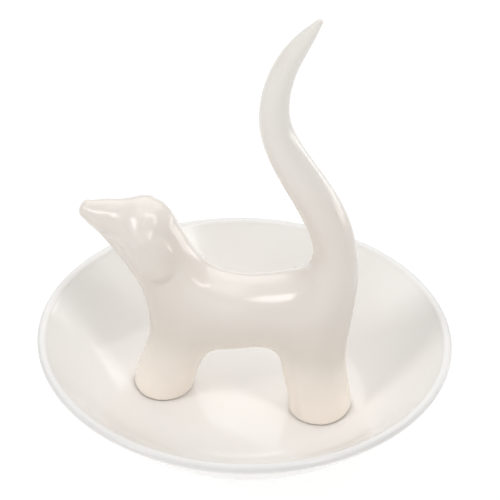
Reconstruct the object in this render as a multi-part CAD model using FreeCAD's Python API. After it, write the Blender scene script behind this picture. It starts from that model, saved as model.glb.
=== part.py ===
import FreeCAD, Part
import math
import os

# A glazed ceramic ring dish: a round saucer with a small standing dachshund in its middle.
# The dog's tall tail is the post that rings drop over. The saucer is turned and the dog is
# cast, and a thin layer of slip under each foot bonds the dog to the floor of the bowl.
# Millimetres, +Z up, the origin at the centre of the foot ring's underside. The dog looks
# along -X, and its mirror plane is the XZ plane.

# Saucer
dish_diameter = 110.0
dish_depth = 19.8           # from the top of the lip to the middle of the floor
wall_thickness = 3.5
floor_diameter = 49.0       # flat middle of the bowl
floor_blend = 9.5           # how far the floor's level direction carries into the wall
lip_blend = 13.0            # how far the wall's slope at the lip carries down
lip_slope_share = 1.07      # rise of the wall per run, just under the lip
lip_width = 3.0
lip_height = 2.4
ease_share = 0.4            # how much of a chord the lip's roundings carry each direction
foot_ring_diameter = 54.0
foot_ring_width = 3.6
foot_ring_height = 1.5
foot_ring_round = 0.5

# Slip under the feet
slip_thickness = 0.4
slip_inset = 0.8            # the slip stops short of the sole's edge

# Dog: heights are above the floor of the bowl, reaches are from the dish's axis, a depth
# is measured in the mirror plane and a width across it
front_reach = 22.1
front_foot_diameter = 16.4
chest_reach = 17.0
chest_height = 25.0
chest_depth = 19.2
chest_width = 19.4
neck_depth = 17.5
neck_width = 15.6
head_reach = 27.1
head_height = 50.2
skull_depth = 17.0
skull_width = 16.4
throat_advance = 1.4        # ahead of the middle of the head
throat_drop = 2.2           # below the middle of the head
throat_depth = 18.4
throat_width = 13.6
nose_advance = 15.9         # ahead of the middle of the head
nose_rise = 3.3             # above the middle of the head
nose_depth = 4.9
nose_width = 5.6
nose_bluntness = 2.0
muzzle_root = 5.0           # how far the muzzle's root reaches back inside the head
ear_length = 18.5
ear_breadth = 11.6
ear_thickness = 6.0
ear_relief = 1.2            # how far the ear's middle stands out from the skull's side
ear_setback = 2.7           # behind the middle of the head
ear_drop = 3.2              # below the middle of the head
barrel_diameter = 20.1
barrel_front_rise = 2.6     # the barrel's axis above the chest's middle
barrel_rear_rise = 2.4      # the barrel's axis above the haunch's middle
rear_reach = 21.0
rear_foot_diameter = 16.6
haunch_reach = 18.6
haunch_height = 28.0
haunch_diameter = 18.6
tail_root_setback = 4.5     # behind the haunch's middle
tail_root_rise = 22.2       # above the haunch's middle
tail_root_diameter = 11.9
tail_height = 69.6          # from root to tip
tail_tip_advance = 6.5      # ahead of the root
tail_tip_diameter = 1.9
tail_sway = 13.0            # how far the tail leans forward of the line from root to tip
sole_round = 0.7
shoulder_fillet = 5.0
rump_fillet = 4.5
jaw_fillet = 1.5

# Directions in the mirror plane, as run per rise or rise per run
head_lean_share = 0.33
muzzle_tilt_share = 0.35
ear_lean_share = 0.18
ear_flare_share = 0.15
tip_lean_share = 0.67

root_share = 0.6            # a limb's hidden end, of the body that it is rooted in

# Sections between two named ones, as shares of the way from the first to the last:
# in reach, in height, in depth and in width
front_leg_shares = ((0.0, 0.0, 0.0, 0.0), (0.16, 0.2, -0.05, -0.05), (0.69, 0.5, 0.2, 0.2))
neck_shares = ((0.0, 0.0, 0.0, 0.0), (0.03, 0.2, -0.2, 0.05), (0.44, 0.585, 1.0, 0.8), (0.78, 0.8, 0.5, 1.0))
muzzle_shares = ((0.0, 0.0, 0.0, 0.0), (0.345, 0.5, 0.34, 0.2), (0.69, 0.78, 0.69, 0.55))
rear_leg_shares = ((0.0, 0.0, 0.0, 0.0), (0.17, 0.2, 0.0, 0.0), (0.95, 0.54, 0.2, 0.2), (1.05, 0.8, 0.6, 0.6))
croup_shares = ((0.0, 0.0, 0.0, 0.0), (0.38, 0.4, 0.12, 0.12), (0.84, 0.72, 0.6, 0.6))

# Sections of the tail: height as a share of the way from root to tip, lean as a share of
# the sway, thickness as a share of the root's
tail_shares = (
    (0.0, 0.0, 1.0),
    (0.135, 0.09, 0.97),
    (0.289, 0.46, 0.92),
    (0.424, 0.83, 0.8),
    (0.542, 1.0, 0.69),
    (0.662, 0.94, 0.61),
    (0.818, 0.63, 0.52),
    (0.95, 0.19, 0.33),
)

# Sections of the barrel between its roots: place, depth and width as shares of its length and diameter
barrel_shares = (
    (0.2, 1.32, 0.98),
    (0.36, 1.09, 1.0),
    (0.55, 1.0, 1.0),
    (0.72, 1.07, 1.0),
    (0.83, 1.22, 0.98),
)

# Sections of an ear: place and thickness as shares
ear_shares = ((0.03, 0.3), (0.13, 0.58), (0.33, 0.85), (0.6, 1.0), (0.8, 0.88), (0.93, 0.57), (0.985, 0.27))
dome_turn_shares = (0.3, 0.55, 0.75, 0.9)   # of the quarter turn that rounds a limb's end

oval_points = 12            # points that a limb's section is drawn through
overrun = 5.0               # how far a tool reaches past what it cuts
touching = 0.001            # closest distance that counts as lying on a surface

floor_top = foot_ring_height + wall_thickness
rim_top = floor_top + dish_depth
UP = FreeCAD.Vector(0, 0, 1)
ACROSS = FreeCAD.Vector(0, 1, 0)
FORWARD = FreeCAD.Vector(-1, 0, 0)


def at(reach, height):
    """A point on the mirror plane, its height above the floor of the bowl."""
    return FreeCAD.Vector(reach, 0, floor_top + height)


def between(first, last, share_rows):
    """Sections from one named section towards another, by the rows of shares."""
    return [tuple(a + (b - a) * share for a, b, share in zip(first, last, shares)) for shares in share_rows]


def oval(centre, along, depth, width):
    """A smooth closed section square to a direction in the mirror plane."""
    deep = ACROSS.cross(along).normalize() * (depth / 2)
    wide = ACROSS * (width / 2)
    turns = [2 * math.pi * step / oval_points for step in range(oval_points)]
    points = [centre + deep * math.cos(turn) + wide * math.sin(turn) for turn in turns]
    curve = Part.BSplineCurve()
    curve.interpolate(points, PeriodicFlag=True, Parameters=list(range(oval_points + 1)))
    return curve


def skinned(ovals, start_point=None, end_point=None):
    """A closed solid whose skin runs smoothly through ovals, its ends flat or drawn to a point."""
    rows = [curve.getPoles() for curve in ovals]
    count = len(rows[0])
    if start_point:
        rows.insert(0, [start_point] * count)
    if end_point:
        rows.append([end_point] * count)
    travel = [0]
    for row, following in zip(rows, rows[1:]):
        steps = [(b - a).Length for a, b in zip(row, following)]
        travel.append(travel[-1] + sum(steps) / count)
    strands = []
    for strand_points in zip(*rows):
        strand = Part.BSplineCurve()
        strand.interpolate(list(strand_points), Parameters=travel)
        strands.append(strand)
    around, along = ovals[0], strands[0]
    surface = Part.BSplineSurface()
    surface.buildFromPolesMultsKnots(
        [strand.getPoles() for strand in strands],
        around.getMultiplicities(), along.getMultiplicities(),
        around.getKnots(), along.getKnots(), True, False, around.Degree, along.Degree)
    side = surface.toShape()
    rings = [edge for edge in side.Edges if edge.Closed and not edge.Degenerated and not edge.isSeam(side)]
    shell = Part.makeShell([side] + [Part.Face(Part.Wire([ring])) for ring in rings])
    if rings:
        shell.sewShape()
    solid = Part.makeSolid(shell)
    if solid.Volume < 0:
        solid.reverse()
    return solid


def limb(stations, start, end, dome_rise=0):
    """A skin over ovals square to a smooth spine, with a domed end where it has a rise."""
    centres = [at(reach, height) for reach, height, depth, width in stations]
    spine = Part.BSplineCurve()
    chord = (centres[-1] - centres[0]).Length
    spine.interpolate(centres, InitialTangent=start * chord, FinalTangent=end * chord)
    ovals = []
    for centre, (reach, height, depth, width) in zip(centres, stations):
        ovals.append(oval(centre, spine.tangent(spine.parameter(centre))[0], depth, width))
    if not dome_rise:
        return skinned(ovals)
    for share in dome_turn_shares:
        turn = share * math.pi / 2
        centre = centres[-1] + end * (dome_rise * math.sin(turn))
        ovals.append(oval(centre, end, depth * math.cos(turn), width * math.cos(turn)))
    return skinned(ovals, end_point=centres[-1] + end * dome_rise)


def grown_together(first, second, fillet):
    """Two limbs as one body, with the crease where their skins meet rounded."""
    body = first.fuse(second)
    crease = []
    for edge in body.Edges:
        middle = Part.Vertex(edge.valueAt((edge.FirstParameter + edge.LastParameter) / 2))
        gaps = [middle.distToShape(shell)[0] for shell in first.Shells + second.Shells]
        if max(gaps) < touching:
            crease.append(edge)
    return body.makeFillet(fillet, crease)


def line(first, last):
    return Part.LineSegment(first, last).toShape()


def eased(first, leaving, last, arriving):
    """A cubic edge between two points, with the directions it leaves and arrives in."""
    reach = (last - first).Length * ease_share
    curve = Part.BezierCurve()
    curve.setPoles([first, first + leaving * reach, last - arriving * reach, last])
    return curve.toShape()


def on_axis(height):
    return FreeCAD.Vector(0, 0, height)


def turned(edges):
    """A closed outline in the XZ plane, turned about the dish's axis."""
    return Part.Face(Part.Wire(edges)).revolve(FreeCAD.Vector(), UP, 360)


def bowl_curve(lift):
    """The bowl's inner outline from floor to lip, raised by what lies in the bowl."""
    slope = FreeCAD.Vector(1, 0, lip_slope_share).normalize()
    start = FreeCAD.Vector(floor_diameter / 2, 0, floor_top + lift)
    end = FreeCAD.Vector(dish_diameter / 2 - lip_width, 0, rim_top - lip_height / 2 + lift)
    curve = Part.BezierCurve()
    curve.setPoles([start, start - FORWARD * floor_blend, end - slope * lip_blend, end])
    return curve


def outer_curve(inner):
    """The bowl's outer outline, one wall thickness outside the inner one."""
    first, second, third, last = inner.getPoles()
    start = first - UP * wall_thickness
    end = last + ACROSS.cross(last - third).normalize() * wall_thickness
    stretch = (end - start).Length / (last - first).Length
    curve = Part.BezierCurve()
    curve.setPoles([start, start + (second - first) * stretch, end - (last - third) * stretch, end])
    return curve


def make_dish():
    """The saucer: one turned outline with a rounded lip, and the foot ring under it."""
    radius = dish_diameter / 2
    inner = bowl_curve(0)
    outer = outer_curve(inner)
    slope = (inner.EndPoint - inner.getPoles()[2]).normalize()
    crest = FreeCAD.Vector(radius - lip_width / 2, 0, rim_top)
    edge = FreeCAD.Vector(radius, 0, rim_top - lip_height / 2)
    bowl = turned([
        line(on_axis(floor_top), inner.StartPoint),
        inner.toShape(),
        eased(inner.EndPoint, slope, crest, -FORWARD),
        eased(crest, -FORWARD, edge, -UP),
        eased(edge, -UP, outer.EndPoint, -slope),
        outer.toShape(),
        line(outer.StartPoint, on_axis(foot_ring_height)),
        line(on_axis(foot_ring_height), on_axis(floor_top)),
    ])
    ring_top = foot_ring_height + wall_thickness / 2
    ring = Part.makeCylinder(foot_ring_diameter / 2, ring_top)
    dish = bowl.fuse(ring.cut(Part.makeCylinder(foot_ring_diameter / 2 - foot_ring_width, ring_top)))
    standing = [ring_edge for ring_edge in dish.Edges if ring_edge.BoundBox.ZMax < touching]
    return dish.makeFillet(foot_ring_round, standing)


def make_seat():
    """All that lies below the top of the slip in the bowl: the soles are trimmed to it."""
    curve = bowl_curve(slip_thickness)
    start, end = curve.StartPoint, curve.EndPoint
    corner = FreeCAD.Vector(end.x, 0, -overrun)
    return turned([
        line(on_axis(start.z), start),
        curve.toShape(),
        line(end, corner),
        line(corner, on_axis(-overrun)),
        line(on_axis(-overrun), on_axis(start.z)),
    ])


def make_front():
    """The front column, from the sole through leg, chest and neck to the crown."""
    foot = (-front_reach, 0, front_foot_diameter, front_foot_diameter)
    chest = (-chest_reach, chest_height, chest_depth, chest_width)
    nape = (-head_reach, head_height, neck_depth, neck_width)
    skull = (-head_reach, head_height, skull_depth, skull_width)
    stations = between(foot, chest, front_leg_shares) + between(chest, nape, neck_shares) + [skull]
    return limb(stations, UP, (UP + FORWARD * head_lean_share).normalize(), skull_depth / 2)


def make_muzzle():
    """The tapering muzzle, from its root inside the head over the throat to the rounded nose."""
    throat = (-head_reach - throat_advance, head_height - throat_drop, throat_depth, throat_width)
    nose = (-head_reach - nose_advance, head_height + nose_rise, nose_depth, nose_width)
    tilt = (FORWARD + UP * muzzle_tilt_share).normalize()
    root = (throat[0] - tilt.x * muzzle_root, throat[1] - tilt.z * muzzle_root,
            neck_depth * root_share, neck_width * root_share)
    return limb([root] + between(throat, nose, muzzle_shares) + [nose], tilt, tilt, nose_bluntness)


def make_barrel():
    """The body between the two columns, waisted where it runs into them and rooted inside them."""
    front_height = chest_height + barrel_front_rise
    rear_height = haunch_height + barrel_rear_rise
    stations = [(-chest_reach, front_height, chest_depth * root_share, chest_width * root_share)]
    for run, deep, wide in barrel_shares:
        reach = -chest_reach + (chest_reach + haunch_reach) * run
        height = front_height + (rear_height - front_height) * run
        stations.append((reach, height, barrel_diameter * deep, barrel_diameter * wide))
    stations.append((haunch_reach, rear_height, haunch_diameter * root_share, haunch_diameter * root_share))
    return limb(stations, -FORWARD, -FORWARD)


def make_rear():
    """The rear column, from the sole through leg and haunch into the tall swaying tail."""
    foot = (rear_reach, 0, rear_foot_diameter, rear_foot_diameter)
    haunch = (haunch_reach, haunch_height, haunch_diameter, haunch_diameter)
    root_reach = haunch_reach + tail_root_setback
    root_height = haunch_height + tail_root_rise
    root = (root_reach, root_height, tail_root_diameter, tail_root_diameter)
    tip = (root_reach - tail_tip_advance, root_height + tail_height, tail_tip_diameter, tail_tip_diameter)
    stations = between(foot, haunch, rear_leg_shares) + between(haunch, root, croup_shares)
    for rise, lean, girth in tail_shares:
        reach = root_reach - tail_tip_advance * rise - tail_sway * lean
        height = root_height + tail_height * rise
        stations.append((reach, height, tail_root_diameter * girth, tail_root_diameter * girth))
    stations.append(tip)
    return limb(stations, UP, (UP - FORWARD * tip_lean_share).normalize(), tail_tip_diameter / 2)


def make_ear(side):
    """A drop-shaped ear lying against the side of the neck."""
    hang = (-UP - FORWARD * ear_lean_share + ACROSS * (side * ear_flare_share)).normalize()
    offset = ACROSS * (side * (skull_width / 2 + ear_relief - ear_thickness / 2))
    middle = at(ear_setback - head_reach, head_height - ear_drop) + offset
    top = middle - hang * (ear_length / 2)
    ovals = []
    for run, girth in ear_shares:
        ovals.append(oval(top + hang * (ear_length * run), hang, ear_breadth * girth, ear_thickness * girth))
    return skinned(ovals, top, top + hang * ear_length)


def make_dog(seat):
    """The figure: two columns bridged by the barrel, with muzzle and ears, trimmed to its seat."""
    dog = grown_together(make_front(), make_muzzle(), jaw_fillet)
    dog = grown_together(dog, make_barrel(), shoulder_fillet)
    dog = grown_together(dog, make_rear(), rump_fillet)
    dog = dog.fuse([make_ear(-1), make_ear(1)]).cut(seat)
    soles = [edge for edge in dog.Edges if edge.BoundBox.ZMax < floor_top + front_foot_diameter / 4]
    return dog.makeFillet(sole_round, soles)


def make_slip(foot_reach, foot_diameter):
    """The layer of slip between one sole and the floor of the bowl."""
    below, above = bowl_curve(0), bowl_curve(slip_thickness)
    layer = turned([
        line(on_axis(floor_top), below.StartPoint),
        below.toShape(),
        line(below.EndPoint, above.EndPoint),
        above.toShape(),
        line(above.StartPoint, on_axis(above.StartPoint.z)),
        line(on_axis(above.StartPoint.z), on_axis(floor_top)),
    ])
    puck = Part.makeCylinder(foot_diameter / 2 - slip_inset, rim_top, FreeCAD.Vector(foot_reach, 0, 0))
    return puck.common(layer)


os.makedirs("parts", exist_ok=True)
nodes = {
    "dish": make_dish(),
    "dog_figure": make_dog(make_seat()),
    "front_foot_slip": make_slip(-front_reach, front_foot_diameter),
    "rear_foot_slip": make_slip(rear_reach, rear_foot_diameter),
}
for name, shape in nodes.items():
    shape.exportStep(os.path.join("parts", name + ".step"))
    print(name, len(shape.Solids), "solids, valid", shape.isValid(), "volume", round(shape.Volume, 1))
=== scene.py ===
import bpy
import math
import numpy as np
from mathutils import Matrix, Vector


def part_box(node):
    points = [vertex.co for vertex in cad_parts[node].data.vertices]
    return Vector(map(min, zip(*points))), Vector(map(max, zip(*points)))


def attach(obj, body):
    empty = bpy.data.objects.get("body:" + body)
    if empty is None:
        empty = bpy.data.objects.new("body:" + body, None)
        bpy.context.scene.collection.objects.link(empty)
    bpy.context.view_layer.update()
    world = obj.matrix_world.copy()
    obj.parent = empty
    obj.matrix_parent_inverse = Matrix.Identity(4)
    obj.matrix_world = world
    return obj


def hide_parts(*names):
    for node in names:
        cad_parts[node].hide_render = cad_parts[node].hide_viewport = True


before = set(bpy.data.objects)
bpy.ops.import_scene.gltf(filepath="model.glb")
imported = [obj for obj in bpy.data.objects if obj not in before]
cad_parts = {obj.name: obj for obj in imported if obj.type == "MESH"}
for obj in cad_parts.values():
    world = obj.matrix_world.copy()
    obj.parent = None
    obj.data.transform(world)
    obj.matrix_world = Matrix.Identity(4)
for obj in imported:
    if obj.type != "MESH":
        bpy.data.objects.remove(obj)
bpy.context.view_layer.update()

# Saucer: a shallow bowl of white earthenware with a rounded lip, turned in one piece with the low foot
# ring that it stands on, and dipped in a warm white glaze. The ring's underside was wiped bare before
# the firing, so that the dish doesn't stick to the kiln shelf. Its sizes are in millimetres.
millimetre = 0.001
rim_radius, _, rim_top = np.array(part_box("dish")[1]) / millimetre
foot_ring_height = 1.5
wall_thickness = 3.5
floor_radius = 24.5
floor_top = foot_ring_height + wall_thickness
floor_blend = 9.5
lip_width, lip_height = 3.0, 2.4
lip_crest_inset, lip_edge_drop, lip_wall = 1.3, 0.9, 2.6
lip_blend = 13.0
lip_slope = 1.07
lip_direction = np.array([1.0, lip_slope]) / math.hypot(1.0, lip_slope)
ring_outside, ring_width, ring_round = 27.0, 3.6, 0.5
ring_turn = (-0.8, -0.6)                # the way in which the wall starts down into the ring
rim_waver, waver_share = 0.12, 0.5      # the rim departs from level in two waves, and by a share in three
twice_phase, thrice_phase = 0.6, 2.0
ease_share = 0.4                        # how much of a curve's chord its ends reach along their directions
dish_turns = 288
floor_points, wall_points = 12, 44
lip_points, lip_under_points = 12, 10
ring_points, ring_edge_points = 5, 6


def bezier(first, second, third, last, count):
    """Points on a cubic from first to last, which leaves towards second and arrives from third."""
    t = np.linspace(0, 1, count)[:, None]
    return ((1 - t) ** 3 * np.asarray(first) + 3 * t * (1 - t) ** 2 * np.asarray(second)
            + 3 * t ** 2 * (1 - t) * np.asarray(third) + t ** 3 * np.asarray(last))


def eased(first, leaving, last, arriving, count):
    """A cubic between two points, with the directions in which it leaves and arrives."""
    first, last = np.asarray(first, float), np.asarray(last, float)
    reach = np.linalg.norm(last - first) * ease_share
    second, third = first + reach * np.asarray(leaving), last - reach * np.asarray(arriving)
    return bezier(first, second, third, last, count)


def straight(first, last, count):
    """Evenly spaced points from first to last."""
    return np.linspace(first, last, count)


def bowl_outline(lift, count):
    """The bowl's inside as radius and height, from the edge of the flat floor to the lip."""
    start = np.array([floor_radius, floor_top + lift])
    end = np.array([rim_radius - lip_width, rim_top - lip_height / 2 + lift])
    return bezier(start, start + [floor_blend, 0], end - lip_blend * lip_direction, end, count)


def dish_outline():
    """The whole section from the middle of the floor over the lip and back to the middle underneath."""
    outward, down = np.array([1.0, 0.0]), np.array([0.0, -1.0])
    inside = bowl_outline(0, wall_points)
    under = inside[-1] + lip_wall * np.array([lip_direction[1], -lip_direction[0]])
    below = inside[0] + wall_thickness * down
    stretch = np.linalg.norm(under - below) / np.linalg.norm(inside[-1] - inside[0])
    outside = bezier(under, under - stretch * lip_blend * lip_direction,
                     below + stretch * floor_blend * outward, below, wall_points)
    meets = np.argmin(np.abs(outside[:, 0] - ring_outside))
    crest = [rim_radius - lip_crest_inset, rim_top]
    edge = [rim_radius, rim_top - lip_edge_drop]
    ring_inside = ring_outside - ring_width
    return np.concatenate([
        straight([0, floor_top], [floor_radius, floor_top], floor_points)[:-1],
        inside[:-1],
        eased(inside[-1], lip_direction, crest, outward, lip_points)[:-1],
        eased(crest, outward, edge, down, lip_points)[:-1],
        eased(edge, down, under, -lip_direction, lip_under_points)[:-1],
        outside[:meets],
        eased([ring_outside + ring_round, outside[meets - 1, 1] - ring_round / 2], ring_turn,
              [ring_outside, foot_ring_height - ring_round], down, ring_points),
        eased([ring_outside, ring_round], down,
              [ring_outside - ring_round, 0], -outward, ring_edge_points),
        straight([ring_outside - ring_round, 0], [ring_inside + ring_round, 0], ring_points)[1:],
        eased([ring_inside + ring_round, 0], -outward,
              [ring_inside, ring_round], -down, ring_edge_points)[1:],
        eased([ring_inside, foot_ring_height - ring_round], -down,
              [ring_inside - ring_round, foot_ring_height], -outward, ring_points),
        straight([ring_inside - ring_round, foot_ring_height], [0, foot_ring_height], floor_points)[1:],
    ])


def turned(outline, turns):
    """An outline of radius and height carried round the axis. It starts and ends on the axis, where the
    fans that close the skin meet. The rim wavers a little, and less the lower a point lies."""
    angle = np.arange(turns) * 2 * math.pi / turns
    radius, height = outline[1:-1, :1], outline[1:-1, 1:]
    waver = rim_waver * (np.cos(2 * angle + twice_phase) + waver_share * np.cos(3 * angle + thrice_phase))
    rings = np.stack([radius * np.cos(angle), radius * np.sin(angle),
                      height + waver * np.clip(height / rim_top, 0, 1) ** 3], axis=-1)
    points = np.concatenate([rings.reshape(-1, 3), [[0, 0, outline[0, 1]], [0, 0, outline[-1, 1]]]])
    here = np.arange(turns)
    after = np.roll(here, -1)
    bands = len(outline) - 3
    row = turns * np.arange(bands)[:, None]
    corners = [row + here, row + turns + here, row + turns + after, row + after]
    quads = np.stack(corners, axis=-1).reshape(-1, 4)
    last_row = turns * bands
    middle = len(points) - 2
    fans = [np.stack([here, after, np.full(turns, middle)], axis=1),
            np.stack([last_row + after, last_row + here, np.full(turns, middle + 1)], axis=1)]
    return points, [quads, *fans]


def ceramic_piece(name, points, faces):
    """A smooth-shaded mesh object from points in millimetres and arrays of faces."""
    mesh = bpy.data.meshes.new(name)
    mesh.from_pydata((points * millimetre).tolist(), [], sum((block.tolist() for block in faces), []))
    mesh.shade_smooth()
    piece = bpy.data.objects.new(name, mesh)
    bpy.context.scene.collection.objects.link(piece)
    return piece


class Wire:
    """A value in a material. Arithmetic on it adds Math nodes, and node() adds any other node."""

    def __init__(self, tree, socket=None):
        self.tree = tree
        self.socket = socket

    def node(self, kind, settings, inputs, output=0):
        """A node of a kind: its settings first, then the values or links of its sockets."""
        made = self.tree.nodes.new("ShaderNode" + kind)
        for name, value in settings.items():
            setattr(made, name, value)
        for name, value in inputs.items():
            if isinstance(value, Wire):
                self.tree.links.new(value.socket, made.inputs[name])
            else:
                made.inputs[name].default_value = value
        return Wire(self.tree, made.outputs[output] if made.outputs else None)

    def math(self, operation, first, second):
        """A Math node on two values, each a wire or a number."""
        return self.node("Math", {"operation": operation}, {0: first, 1: second})

    def __add__(self, other):
        return self.math("ADD", self, other)

    def __sub__(self, other):
        return self.math("SUBTRACT", self, other)

    def __mul__(self, other):
        return self.math("MULTIPLY", self, other)

    def __radd__(self, other):
        return self.math("ADD", other, self)

    def __rsub__(self, other):
        return self.math("SUBTRACT", other, self)

    def __rmul__(self, other):
        return self.math("MULTIPLY", other, self)

    def step(self, low, high):
        """0 below low, 1 above high, and a smooth rise between them."""
        return self.node("MapRange", {"interpolation_type": "SMOOTHSTEP"},
                         {"Value": self, "From Min": low, "From Max": high})

    def noise(self, size, detail=2.0):
        """Cloudy noise, about 0.5, whose patches are about a size in millimetres across."""
        return self.node("TexNoise", {}, {"Vector": self, "Scale": 1 / (size * millimetre), "Detail": detail})

    def tint(self, first, second):
        """The first colour where this value is 0, the second where it is 1."""
        return self.node("Mix", {"data_type": "RGBA"}, {0: self, 6: first, 7: second}, 2)


def new_material(name):
    """An empty material, and its place on the piece as a wire to build its nodes from."""
    material = bpy.data.materials.new(name)
    material.use_nodes = True
    material.node_tree.nodes.clear()
    place = Wire(material.node_tree).node("TexCoord", {}, {}, "Object")
    return material, place


dish_white = (0.93, 0.908, 0.878, 1)
dish_warm = (0.91, 0.875, 0.825, 1)
# Over the lip's crest the glaze is thin, and it is painted greyer as shade for the lip's darker band.
lip_thin_and_shade = (0.84, 0.825, 0.805, 1)
clay_bare = (0.62, 0.53, 0.42, 1)
clay_pale = (0.7, 0.62, 0.51, 1)
dish_gloss = 0.12
glaze_index = 1.52
# The glaze's patches and the heights of its relief are in millimetres, its tints and dulling are shares.
cloud_size, cloud_warmth = 26.0, 0.3
pool_warmth, thin_warmth = 0.55, 0.35
freckle_size, freckle_group, freckle_tint, freckle_pit = 0.55, 7.0, 0.22, 0.02
dull_size, dull_patch, dull_thin = 9.0, 0.05, 0.05
ripple_size, ripple_height = 11.0, 0.05
peel_size, peel_height = 1.6, 0.006
grain_size, grain_height, clay_roughness = 0.4, 0.06, 0.8
# The foot ring is wiped bare up to a line that wavers.
wipe_low, wipe_high, wipe_waver, wipe_size = 0.65, 0.8, 0.5, 4.0


def glaze_wires(place, white, warm, gloss, thin=0.0, pooled=0.0):
    """The fired glaze: cloudy tint, warmer where it ran thin over an edge or pooled in a hollow, a few
    freckles in groups, and a skin that isn't quite even. Gives its colour, its roughness and its bump
    height in millimetres."""
    cloud = place.noise(cloud_size, 3.0).step(0.35, 0.7)
    freckle = place.noise(freckle_size, 1.0).step(0.74, 0.8) * place.noise(freckle_group).step(0.5, 0.62)
    warmth = cloud_warmth * cloud + pool_warmth * pooled + thin_warmth * thin
    colour = warmth.tint(white, warm)
    colour = (freckle * freckle_tint).tint(colour, clay_bare)
    roughness = gloss + dull_patch * place.noise(dull_size).step(0.4, 0.7) + dull_thin * thin
    height = (ripple_height * place.noise(ripple_size, 1.0) + peel_height * place.noise(peel_size, 1.0)
              - freckle_pit * freckle)
    return colour, roughness, height


def fired(material, colour, roughness, height, gloss_index):
    """Finishes a material: bump height in millimetres on a ceramic surface of that refractive index."""
    bump = height.node("Bump", {}, {"Height": height, "Distance": millimetre, "Strength": 1.0})
    shader = bump.node("BsdfPrincipled", {}, {"Base Color": colour, "Roughness": roughness, "Normal": bump,
                                             "IOR": gloss_index})
    shader.node("OutputMaterial", {}, {"Surface": shader})
    return material


def dish_glaze():
    """Glaze all over, thin and greyer over the lip's crest, partly as painted shade, and bare clay
    under the foot ring.
    """
    material, place = new_material("dish_glaze")
    height = place.node("SeparateXYZ", {}, {0: place}, "Z") * (1 / millimetre)
    axis_offset = place.node("VectorMath", {"operation": "MULTIPLY"}, {0: place, 1: (1, 1, 0)})
    radius = place.node("VectorMath", {"operation": "LENGTH"}, {0: axis_offset}, "Value") * (1 / millimetre)
    # Painted shade: the lip's crest is greyer, partly for thin glaze and partly as shade on the lip.
    lip = (radius.step(rim_radius - lip_width, rim_radius - lip_crest_inset)
           * height.step(rim_top - lip_height, rim_top - lip_edge_drop))
    colour, roughness, relief = glaze_wires(place, dish_white, dish_warm, dish_gloss)
    colour = lip.tint(colour, lip_thin_and_shade)
    bare = 1 - (height + wipe_waver * place.noise(wipe_size)).step(wipe_low, wipe_high)
    grain = place.noise(grain_size, 3.0)
    clay = grain.step(0.3, 0.7).tint(clay_bare, clay_pale)
    colour = bare.tint(colour, clay)
    roughness = roughness + bare * (clay_roughness - roughness)
    relief = relief + bare * (grain_height * grain)
    return fired(material, colour, roughness, relief, glaze_index)


dish = ceramic_piece("dish_body", *turned(dish_outline(), dish_turns))
dish.data.materials.append(dish_glaze())
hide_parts("dish")
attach(dish, "root")

# Slip: the thin layer of liquid clay that each sole was pressed into before the firing. It stops short of
# the sole's edge, so it shows only as a dark line, shade in the gap and painted shade in its dark colour.
# It stays matt because no glaze ran under the foot.
slip_thickness = 0.4
# Painted shade: the slip is darker than the bare clay, for the shadow line under each foot.
slip_shade_dark = (0.4, 0.33, 0.25, 1)
slip_pale = (0.55, 0.47, 0.37, 1)
slip_grain, slip_relief = 0.5, 0.08
slip_smoothest, slip_spread = 0.75, 0.15
slip_index = 1.45


def slip_clay():
    """Matt fired slip, mottled at the scale of its grain."""
    material, place = new_material("slip_clay")
    grain = place.noise(slip_grain, 3.0)
    colour = grain.step(0.3, 0.7).tint(slip_shade_dark, slip_pale)
    return fired(material, colour, slip_smoothest + slip_spread * grain, slip_relief * grain, slip_index)


slip = slip_clay()
for node in ("front_foot_slip", "rear_foot_slip"):
    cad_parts[node].data.materials.clear()
    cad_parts[node].data.materials.append(slip)

# Dachshund: one hollow cast of the same clay, its seams sponged away so that legs, barrel, head and tail
# run into each other, then glazed with the dish. Sections are reach, height above the bowl's floor, half
# depth and half width in millimetres, chosen along each limb's spine from its root to its end.
front_column = [(-22.0, -6.0, 7.95, 8.6), (-22.0, 0.0, 7.95, 8.6), (-21.05, 5.0, 7.9, 8.5),
                (-18.75, 12.5, 7.85, 8.7), (-16.95, 20.0, 8.85, 8.9), (-16.8, 25.0, 9.3, 9.3),
                (-17.4, 30.0, 9.5, 9.2), (-21.8, 39.5, 8.85, 7.8), (-25.0, 45.2, 8.8, 7.2),
                (-27.0, 50.2, 8.2, 7.2)]
muzzle = [(-28.0, 51.2, 7.2, 8.0), (-31.0, 51.6, 6.4, 6.7), (-33.0, 52.0, 5.7, 5.7), (-35.2, 52.3, 5.1, 4.9),
          (-37.5, 52.6, 4.5, 4.4), (-40.5, 53.0, 3.6, 3.7), (-43.0, 53.65, 2.55, 2.6)]
throat = [(-39.6, 51.0, 3.0, 1.7), (-35.8, 48.1, 3.9, 1.9), (-31.9, 45.0, 4.8, 2.3), (-27.5, 41.4, 5.5, 3.5)]
barrel = [(-11.0, 27.5, 11.0, 8.9), (-5.0, 27.5, 11.0, 9.3), (2.5, 28.8, 10.2, 9.0), (8.0, 29.9, 10.4, 9.1),
          (13.0, 30.7, 10.2, 8.9), (19.0, 31.2, 8.5, 7.2)]
rear_column = [(21.0, -6.0, 8.4, 9.1), (21.0, 0.0, 8.4, 9.0), (20.35, 5.6, 8.3, 8.8), (18.8, 15.1, 8.6, 8.6),
               (18.5, 22.4, 8.9, 8.6), (18.6, 28.0, 9.3, 8.6), (20.5, 36.9, 8.7, 8.2), (22.7, 44.0, 7.0, 7.0),
               (23.2, 50.2, 5.85, 5.85), (21.05, 59.6, 5.55, 5.55), (15.2, 70.3, 5.25, 5.25),
               (9.4, 79.7, 4.7, 4.7), (6.35, 87.9, 4.1, 4.1), (6.25, 96.3, 3.65, 3.65),
               (9.25, 107.1, 3.05, 3.05), (14.35, 116.3, 1.8, 1.8), (16.6, 119.8, 0.85, 0.85)]
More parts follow.
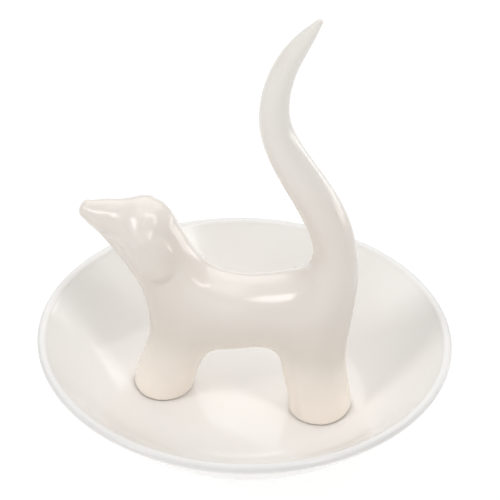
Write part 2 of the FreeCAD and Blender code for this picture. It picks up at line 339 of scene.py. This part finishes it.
cheek = [(-28.9, 56.0, 1.2, 1.2), (-28.1, 54.6, 1.8, 1.7), (-27.2, 52.8, 2.2, 1.9), (-26.7, 51.0, 2.4, 1.7),
         (-26.6, 48.8, 2.0, 1.0)]
jowl = [(-37.5, 48.9, 0.5, 0.5), (-34.4, 49.1, 0.8, 0.9), (-32.8, 49.0, 1.1, 1.2), (-31.2, 48.4, 1.2, 1.2),
        (-29.8, 46.7, 1.1, 1.1), (-28.4, 44.9, 0.8, 0.8), (-27.0, 43.0, 0.5, 0.5)]
ear = [(-25.0, 54.4, 0.9, 0.9), (-25.2, 53.5, 1.6, 1.4), (-25.3, 52.2, 2.1, 1.8), (-24.9, 50.3, 3.1, 2.0),
       (-24.0, 47.8, 4.2, 2.3), (-23.3, 45.0, 4.7, 2.5), (-22.3, 41.6, 3.9, 2.5)]
# How far each limb's rounded ends stand past its first and last sections.
crown_dome, nose_dome, throat_dome, barrel_dome, tail_dome = 8.7, 2.0, 3.0, 4.0, 0.95
cheek_dome, jowl_dome, ear_dome = 1.5, 1.0, 2.6
# How wide the clay is smoothed where one limb meets the next.
jaw_blend, throat_blend, shoulder_blend, rump_blend, sole_blend = 3.0, 3.0, 8.5, 9.5, 0.6
cheek_blend, jowl_blend, lobe_blend, ear_blend = 3.0, 1.3, 1.0, 3.0
# Cheeks and ears stand out from the mirror plane, and lean in to the crown above the fold.
cheek_stands_out, ear_stands_out = 7.6, 7.2
fold_height, fold_lean, fold_ease = 52.0, 0.94, 1.5
# The ear's rear edge is tucked in to the neck. Down to the lobe the tuck fades and the smoothing narrows.
ear_middle, ear_tuck, tuck_ease = -22.5, 0.35, 3.0
lobe_height, lobe_rise = 38.0, 7.0
# The jowls start close to the mirror plane under the nose and spread from there.
jowl_start_reach, jowl_start_out, jowl_spread = -37.5, 3.8, 0.4
# The skin is found on a grid of that step in the room round the dog, and then evened out in rounds.
figure_room = ((-47.0, -13.0, -1.0), (32.0, 13.0, 123.0))
figure_step = 0.5
figure_rounds, hollow_rounds = 3, 6


def spine(sections):
    """A natural cubic through the sections, by the length of its chords: where each span starts, and the
    four coefficients of reach, height, half depth and half width on it."""
    rows = np.asarray(sections, float)
    chords = np.hypot(*np.diff(rows[:, :2], axis=0).T)[:, None]
    slopes = np.diff(rows, axis=0) / chords
    inner = np.arange(1, len(rows) - 1)
    system = np.eye(len(rows))
    system[inner, inner - 1] = chords[:-1, 0]
    system[inner, inner] = 2 * (chords[:-1] + chords[1:])[:, 0]
    system[inner, inner + 1] = chords[1:, 0]
    pull = np.zeros_like(rows)
    pull[1:-1] = 6 * np.diff(slopes, axis=0)
    bend = np.linalg.solve(system, pull)
    starts = np.concatenate([[0], np.cumsum(chords)])
    return starts, np.stack([rows[:-1], slopes - chords * (2 * bend[:-1] + bend[1:]) / 6,
                             bend[:-1] / 2, np.diff(bend, axis=0) / (6 * chords)])


def along(path, travel):
    """The section at a distance along a spine, how fast it changes there, and how fast that changes."""
    starts, coefficients = path
    span = np.clip(np.searchsorted(starts, travel, side="right") - 1, 0, len(starts) - 2)
    run = (travel - starts[span])[..., None]
    a, b, c, d = (rows[span] for rows in coefficients)
    return a + run * (b + run * (c + run * d)), b + run * (2 * c + run * 3 * d), 2 * c + run * 6 * d


def limb(path, dome, x, y, z):
    """About how far a point lies outside a limb: the limb is an ellipse of half depth and half width square
    to its spine, and its ends are domes. The nearest place on the spine comes from trial places and a few
    of Newton's steps, and the ellipse's own distance is estimated from its slope."""
    trial_places, newton_steps, least_pace, tiny = 48, 4, 0.3, 1e-6
    end = path[0][-1]
    trial = np.linspace(0, end, trial_places)
    spots = along(path, trial)[0]
    travel = trial[((x[..., None] - spots[:, 0]) ** 2 + (z[..., None] - spots[:, 1]) ** 2).argmin(-1)]
    for _ in range(newton_steps):
        spot, way, turn = along(path, travel)
        dx, dz = x - spot[..., 0], z - spot[..., 1]
        pace = way[..., 0] ** 2 + way[..., 1] ** 2
        slowed = np.maximum(pace - dx * turn[..., 0] - dz * turn[..., 1], least_pace * pace)
        travel = np.clip(travel + (dx * way[..., 0] + dz * way[..., 1]) / slowed, 0, end)
    spot, way, _ = along(path, travel)
    pace = np.hypot(way[..., 0], way[..., 1])
    dx, dz = x - spot[..., 0], z - spot[..., 1]
    offsets = [((dx * way[..., 1] - dz * way[..., 0]) / pace, spot[..., 2]),
               (y, spot[..., 3]),
               ((dx * way[..., 0] + dz * way[..., 1]) / pace, dome)]
    reach = np.sqrt(sum((offset / half) ** 2 for offset, half in offsets))
    steep = np.sqrt(sum((offset / half ** 2) ** 2 for offset, half in offsets))
    return reach * (reach - 1) / np.maximum(steep, tiny)


def grown(first, second, blend):
    """Two bodies as one, with clay smoothed into the crease over a blend's width."""
    near = np.maximum(blend - np.abs(first - second), 0) / blend
    return np.minimum(first, second) - near ** 3 * blend / 6


def past(distance, ease):
    """How far a distance is past 0, and 0 before it, with the corner rounded over an ease."""
    return (distance + np.sqrt(distance ** 2 + ease ** 2)) / 2


paths = {name: spine(sections) for name, sections in {
    "front": front_column, "muzzle": muzzle, "throat": throat, "barrel": barrel, "rear": rear_column,
    "cheek": cheek, "jowl": jowl, "ear": ear}.items()}
seat_points = 200
seat_radius, seat_height = bowl_outline(slip_thickness - floor_top, seat_points).T


def figure_field(x, y, z):
    """About how far a point lies outside the dog. Cheeks, jowls and ears are the same on both sides. Cheeks
    and ears lean in towards the crown, and the jowls spread from the nose to the ears. The soles are
    trimmed, with a rounded edge, to the bowl and the slip in it."""
    body = limb(paths["front"], crown_dome, x, y, z)
    body = grown(body, limb(paths["muzzle"], nose_dome, x, y, z), jaw_blend)
    body = grown(body, limb(paths["throat"], throat_dome, x, y, z), throat_blend)
    body = grown(body, limb(paths["barrel"], barrel_dome, x, y, z), shoulder_blend)
    body = grown(body, limb(paths["rear"], tail_dome, x, y, z), rump_blend)
    side = np.abs(y)
    fold = fold_lean * past(z - fold_height, fold_ease)
    body = grown(body, limb(paths["cheek"], cheek_dome, x, side - (cheek_stands_out - fold), z), cheek_blend)
    jowl_out = jowl_start_out + jowl_spread * (x - jowl_start_reach)
    body = grown(body, limb(paths["jowl"], jowl_dome, x, side - jowl_out, z), jowl_blend)
    risen = np.clip((z - lobe_height) / lobe_rise, 0, 1)
    ear_out = ear_stands_out - fold - ear_tuck * past(x - ear_middle, tuck_ease) * risen
    body = grown(body, limb(paths["ear"], ear_dome, x, side - ear_out, z),
                 lobe_blend + (ear_blend - lobe_blend) * risen)
    seat = np.interp(np.hypot(x, y), seat_radius, seat_height) - z
    return -grown(-body, -seat, sole_blend)


def skin_of(values, corner, step):
    """Surface nets: a point in each cell of the grid that the skin passes through, at the mean of its
    crossings, and a quad round each grid edge that the skin crosses."""
    inside = values < 0
    cells = np.array(values.shape) - 1
    corners = [np.array(c) for c in np.ndindex(2, 2, 2)]
    windows = [tuple(slice(c, c + n) for c, n in zip(spot, cells)) for spot in corners]
    count = sum(inside[window].astype(np.int8) for window in windows)
    active = np.argwhere((count > 0) & (count < len(corners)))
    total, hits = np.zeros((len(active), 3)), np.zeros((len(active), 1))
    for spot in corners:
        for way in np.eye(3, dtype=int)[spot == 0]:
            first = values[tuple((active + spot).T)][:, None]
            last = values[tuple((active + spot + way).T)][:, None]
            crossed = (first < 0) != (last < 0)
            total += np.where(crossed, spot + way * first / np.where(crossed, first - last, 1), 0)
            hits += crossed
    number = np.full(cells, -1)
    number[tuple(active.T)] = np.arange(len(active))
    quads = []
    for axis in range(3):
        sides = np.roll([0, 1, 2], -axis)[1:]
        lower, upper = [slice(1, -1)] * 3, [slice(1, -1)] * 3
        lower[axis], upper[axis] = slice(None, -1), slice(1, None)
        leaves = inside[tuple(lower)] & ~inside[tuple(upper)]
        enters = inside[tuple(upper)] & ~inside[tuple(lower)]
        for crossing, turn in ((leaves, 1), (enters, -1)):
            edge = np.argwhere(crossing) + 1
            edge[:, axis] -= 1
            ring = []
            for shift in [(0, 0), (-1, 0), (-1, -1), (0, -1)][::turn]:
                cell = edge.copy()
                cell[:, sides] += shift
                ring.append(number[tuple(cell.T)])
            quads.append(np.stack(ring, axis=1))
    return corner + step * (active + total / hits), np.concatenate(quads)


def gathered(owner, values, count):
    """The sum, for each point, of the rows of values that name it as their owner."""
    return np.stack([np.bincount(owner, column, count) for column in values.T], axis=1)


def make_figure():
    """The dog's skin: nets on a regular grid, then rounds that even the quads out and set each point back
    on the skin along its normal. Also gives how hollow the skin is at each point, from its neighbours."""
    even_share, probe, least_rise = 0.5, 0.05, 0.4
    low, high = np.array(figure_room)
    axes = [np.arange(a, b, figure_step) for a, b in zip(low, high)]
    points, quads = skin_of(figure_field(*np.meshgrid(*axes, indexing="ij", sparse=True)), low, figure_step)
    edges = np.concatenate([quads[:, [side, (side + 1) % 4]] for side in range(4)])
    shares = np.bincount(edges[:, 0], minlength=len(points))[:, None]
    for _ in range(figure_rounds):
        lean = gathered(edges[:, 0], points[edges[:, 1]], len(points)) / shares - points
        points = points + even_share * lean
        a, b, c, d = (points[quads[:, side]] for side in range(4))
        normal = gathered(quads.T.ravel(), np.tile(np.cross(c - a, d - b), (4, 1)), len(points))
        normal /= np.linalg.norm(normal, axis=1)[:, None]
        here, beyond = figure_field(*points.T), figure_field(*(points + probe * normal).T)
        points = points - (here * probe / np.maximum(beyond - here, least_rise * probe))[:, None] * normal
    lean = gathered(edges[:, 0], points[edges[:, 1]], len(points)) / shares - points
    hollow = np.sum(lean * normal, axis=1, keepdims=True) / figure_step ** 2
    for _ in range(hollow_rounds):
        hollow = gathered(edges[:, 0], hollow[edges[:, 1]], len(points)) / shares
    return points + [0, 0, floor_top], quads, hollow[:, 0]


dog_white = (0.86, 0.805, 0.745, 1)
dog_warm = (0.83, 0.755, 0.67, 1)
# Painted light: the legs are painted paler towards the feet, for the light that the bowl throws up on them.
foot_painted_light = (0.97, 0.893, 0.812, 1)
# Painted light: the tail is painted whiter and cooler towards its top, for the white room's light on it.
tail_painted_light = (0.895, 0.86, 0.81, 1)
dog_gloss = 0.16
painted_light_top = 37.0                            # where the painted light on the legs ends, above the bowl's floor
foot_light_waver, foot_light_size = 6.0, 14.0
tail_light_low, tail_light_high = 58.0, 92.0  # where the tail's painted light sets in, and is full
bulge_low, bulge_high = 0.1, 0.5            # how sharp an edge is where the glaze breaks thin
pool_low, pool_high = 0.02, 0.3             # how hollow a crease is where the glaze pools


def dog_glaze():
    """Glaze that broke thin over the sharp edges and pooled in the creases. Towards the feet it is painted
    paler as painted light from the bowl, and up the tail it is painted whiter as painted light."""
    material, place = new_material("dog_glaze")
    hollow = place.node("Attribute", {"attribute_name": "hollow"}, {}, "Fac")
    height = place.node("SeparateXYZ", {}, {0: place}, "Z") * (1 / millimetre) - floor_top
    # Painted light: paler from the bowl's floor up to where the painted light ends, with a wavering edge.
    run = 1 - (height + foot_light_waver * (place.noise(foot_light_size) - 0.5)).step(0, painted_light_top)
    # Painted light: whiter up the tail.
    white = height.step(tail_light_low, tail_light_high).tint(run.tint(dog_white, foot_painted_light), tail_painted_light)
    thin = (0 - hollow).step(bulge_low, bulge_high)
    pooled = hollow.step(pool_low, pool_high)
    colour, roughness, relief = glaze_wires(place, white, dog_warm, dog_gloss, thin, pooled)
    return fired(material, colour, roughness, relief, glaze_index)


figure_points, figure_quads, figure_hollow = make_figure()
dog = ceramic_piece("dog_body", figure_points, [figure_quads])
dog.data.attributes.new("hollow", "FLOAT", "POINT").data.foreach_set("value", figure_hollow)
dog.data.materials.append(dog_glaze())
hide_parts("dog_figure")
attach(dog, "root")

# Table: a plain white sheet under the dish, lit from below as well, which runs out of the picture on every
# side. It lights the dish's outside, and the dish's faint shadow lies on it. It glows less as a light on the
# dish than it shows to the camera.
table_half = 0.8
table_drop = 0.05 * millimetre
table_white = (0.86, 0.86, 0.86, 1)
table_fibre = (0.88, 0.88, 0.88, 1)
fibre_size = 3.0
table_glow = 1.18
table_glow_share, table_glow_kept = 0.7, 0.35

table_mesh = bpy.data.meshes.new("table")
table_corners = np.array([(-1, -1), (1, -1), (1, 1), (-1, 1)]) * table_half
table_mesh.from_pydata([(x, y, -table_drop) for x, y in table_corners], [], [(0, 1, 2, 3)])
table = bpy.data.objects.new("table", table_mesh)
bpy.context.scene.collection.objects.link(table)
table_paper, table_place = new_material("table_paper")
fibres = table_place.noise(fibre_size, 4.0).step(0.3, 0.7).tint(table_white, table_fibre)
paper = table_place.node("BsdfDiffuse", {}, {"Color": fibres})
glow = table_place.node("Emission", {}, {"Color": (1, 1, 1, 1), "Strength": table_glow})
as_light = table_place.node("LightPath", {}, {}, "Is Diffuse Ray")
shine = table_glow_share - (table_glow_share - table_glow_kept) * as_light
sheet = table_place.node("MixShader", {}, {0: shine, 1: paper, 2: glow})
sheet.node("OutputMaterial", {}, {"Surface": sheet})
table_mesh.materials.append(table_paper)

# Light: a white room, dim as light and brighter in reflections, a small box to the left and a tall one to
# the right that draw the highlights, broad boxes behind and above, weak ones that fill the shade in front
# and at both sides, and a low card at the right that shows only in the glaze.
room_light, room_mirrored = 0.24, 0.5
world = bpy.data.worlds.new("white_room")
bpy.context.scene.world = world
world.use_nodes = True
world.node_tree.nodes.clear()
room = Wire(world.node_tree)
seen = room.node("LightPath", {}, {}, "Is Camera Ray")
seen_through = room.node("LightPath", {}, {}, "Is Transmission Ray")
mirrored = room.node("LightPath", {}, {}, "Is Glossy Ray")
shown = seen + seen_through + room_mirrored * mirrored
lit = room.node("Background", {}, {"Color": (1, 1, 1, 1), "Strength": room_light})
white = room.node("Background", {}, {"Color": (1, 1, 1, 1), "Strength": 1.0})
both = room.node("MixShader", {}, {0: shown, 1: lit, 2: white})
both.node("OutputWorld", {}, {"Surface": both})
lamp_target = Vector((0.0, 0.0, 0.04))


def soft_box(name, azimuth, elevation, distance, size, brightness):
    """A rectangular lamp that faces the dish, at a distance in metres, from an azimuth, counted in degrees
    from the front to the right, and an elevation. Brightness is its own, so its power follows its area.
    Gives the lamp's object."""
    turn, rise = math.radians(azimuth), math.radians(elevation)
    away = Vector((math.sin(turn) * math.cos(rise), -math.cos(turn) * math.cos(rise), math.sin(rise)))
    width, height = size
    lamp = bpy.data.lights.new(name, "AREA")
    lamp.shape = "RECTANGLE"
    lamp.size, lamp.size_y = width, height
    lamp.energy = brightness * math.pi * width * height
    box = bpy.data.objects.new(name, lamp)
    box.matrix_world = (Matrix.Translation(lamp_target + distance * away)
                        @ away.to_track_quat("Z", "Y").to_matrix().to_4x4())
    bpy.context.scene.collection.objects.link(box)
    return box


soft_box("left_box", azimuth=-48, elevation=37, distance=1.1, size=(0.3, 0.37), brightness=6.0)
soft_box("right_box", azimuth=57, elevation=47, distance=1.1, size=(0.22, 0.7), brightness=4.2)
soft_box("left_fill", azimuth=-75, elevation=28, distance=1.3, size=(1.1, 1.0), brightness=0.3)
soft_box("back_box", azimuth=180, elevation=42, distance=1.2, size=(1.8, 1.0), brightness=1.22)
soft_box("top_box", azimuth=0, elevation=86, distance=1.2, size=(1.2, 1.0), brightness=1.26)
soft_box("front_fill", azimuth=8, elevation=22, distance=1.3, size=(1.2, 0.7), brightness=0.66)
soft_box("right_fill", azimuth=120, elevation=8, distance=1.1, size=(1.0, 0.45), brightness=0.22)
card = soft_box("right_card", azimuth=122, elevation=1.9, distance=0.45, size=(0.42, 0.1), brightness=2.8)
card.visible_diffuse = False

# Camera: a long lens that looks down on the dish from the dog's left side, a little from behind, and is
# held a little out of level.
camera_azimuth, camera_elevation, camera_roll = (math.radians(angle) for angle in (11.1, 35.744, 1.624))
camera_distance = 0.82757
camera_aim = Vector((0.0007, 0.00014, 0.05284))
camera_view = math.radians(9.0)
back = Vector((math.sin(camera_azimuth) * math.cos(camera_elevation),
               -math.cos(camera_azimuth) * math.cos(camera_elevation), math.sin(camera_elevation)))
lens = bpy.data.cameras.new("camera")
lens.angle = camera_view
camera = bpy.data.objects.new("camera", lens)
level = back.to_track_quat("Z", "Y").to_matrix().to_4x4()
camera.matrix_world = (Matrix.Translation(camera_aim + camera_distance * back) @ level
                       @ Matrix.Rotation(camera_roll, 4, "Z"))
bpy.context.scene.collection.objects.link(camera)
bpy.context.scene.camera = camera
bpy.context.scene.view_settings.view_transform = "Standard"
